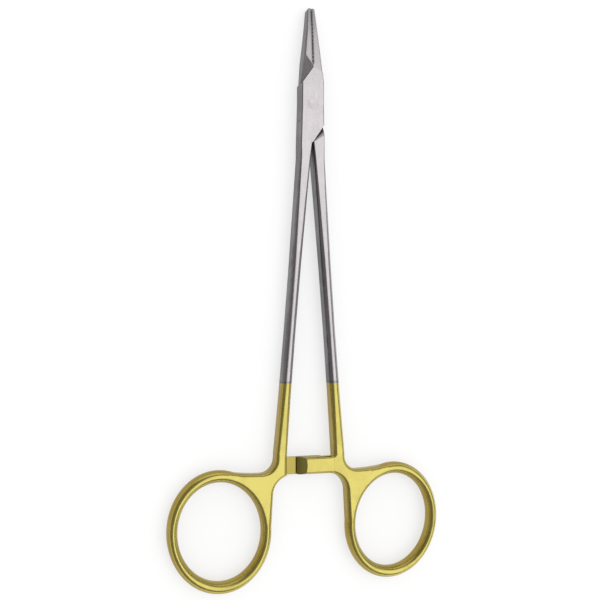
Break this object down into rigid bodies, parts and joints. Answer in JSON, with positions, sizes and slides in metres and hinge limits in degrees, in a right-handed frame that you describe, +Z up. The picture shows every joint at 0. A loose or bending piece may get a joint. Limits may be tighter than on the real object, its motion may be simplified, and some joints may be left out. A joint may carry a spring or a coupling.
{
  "type": "surgical needle holder",
  "caption": "Ring-handled surgical needle holder with a box lock, ratchet arms, gold-plated handles and curved jaws with cross-cut carbide inserts.",
  "frame": {"origin": "the pivot axis of the box lock, on the face that the holder lies on", "axes": "+Y from the finger rings to the jaw tips, +Z up along the pivot axis, +X towards the male half's finger ring"},
  "size_m": [0.073, 0.1499, 0.0045],
  "materials": {
    "forged_steel": "satin steel, with the handles plated gold",
    "pin_steel": "satin",
    "carbide": "dull grey carbide, cross-cut"
  },
  "bodies": {
    "female": {"female_half": "forged_steel", "lock_pin": "pin_steel", "female_jaw_insert": "carbide"},
    "male": {"male_half": "forged_steel", "male_jaw_insert": "carbide"}
  },
  "joints": [
    {"name": "box_lock", "type": "hinge", "parent": "female", "child": "male", "pos_m": [0, 0, 0], "axis": [0, 0, 1], "range_deg": [0, 50]}
  ]
}
